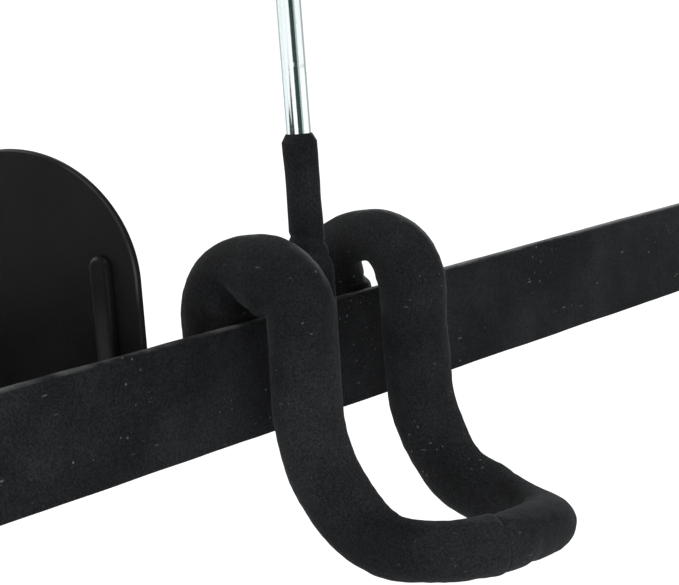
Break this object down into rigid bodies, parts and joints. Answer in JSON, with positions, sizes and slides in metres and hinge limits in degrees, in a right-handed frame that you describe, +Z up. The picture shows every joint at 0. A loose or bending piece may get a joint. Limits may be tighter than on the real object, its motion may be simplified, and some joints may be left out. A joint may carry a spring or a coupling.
{
  "type": "hanging saddle rack",
  "caption": "Hanging saddle rack: flat front rail with padded tack loops, rounded arches behind it for the saddle, and swivelling chrome hooks.",
  "frame": {"origin": "centre of the front rail: mid length, mid height and mid thickness", "axes": "+X along the rails, -Y towards the user and the padded loops, +Z up towards the hanging bar"},
  "size_m": [0.9524, 0.1617, 0.2287],
  "materials": {
    "flocked_metal": "short black flock over steel",
    "flocked_foam": "black flocked foam sleeve",
    "satin_black": "satin powder coat",
    "black_steel": "blackened steel",
    "black_plastic": "matt moulded",
    "vinyl": "dipped vinyl",
    "chrome": "bright plating"
  },
  "bodies": {
    "rack_frame": {"front_rail": "flocked_metal", "rear_rail": "flocked_metal", "front_cap_left": "black_plastic", "front_cap_right": "black_plastic", "rear_cap_left": "black_plastic", "rear_cap_right": "black_plastic", "arch_left": "satin_black", "arch_middle": "satin_black", "arch_right": "satin_black", "arch_rivets": "black_steel", "tie_tube_left": "satin_black", "tie_tube_right": "satin_black", "tie_bolt": "black_steel", "tie_nut": "black_steel", "foot_left": "flocked_metal", "neck_left": "flocked_metal", "socket_left_a": "satin_black", "socket_left_b": "satin_black", "foot_right": "flocked_metal", "neck_right": "flocked_metal", "socket_right_a": "satin_black", "socket_right_b": "satin_black"},
    "hanger_left": {"hook_left": "chrome", "hook_tip_left": "vinyl"},
    "loop_left": {"loop_core_left": "black_steel", "sleeve_left_a": "flocked_foam", "sleeve_left_b": "flocked_foam"},
    "hanger_right": {"hook_right": "chrome", "hook_tip_right": "vinyl"},
    "loop_right": {"loop_core_right": "black_steel", "sleeve_right_a": "flocked_foam", "sleeve_right_b": "flocked_foam"}
  },
  "joints": [
    {"name": "swivel_left", "type": "hinge", "parent": "rack_frame", "child": "hanger_left", "pos_m": [-0.225, -0.0015, 0.0225], "axis": [0, 0, 1], "continuous": true},
    {"name": "loop_lift_left", "type": "slide", "parent": "rack_frame", "child": "loop_left", "axis": [0, 0, 1], "range_m": [0, 0.018]},
    {"name": "swivel_right", "type": "hinge", "parent": "rack_frame", "child": "hanger_right", "pos_m": [0.225, -0.0015, 0.0225], "axis": [0, 0, 1], "continuous": true},
    {"name": "loop_lift_right", "type": "slide", "parent": "rack_frame", "child": "loop_right", "axis": [0, 0, 1], "range_m": [0, 0.018]}
  ]
}
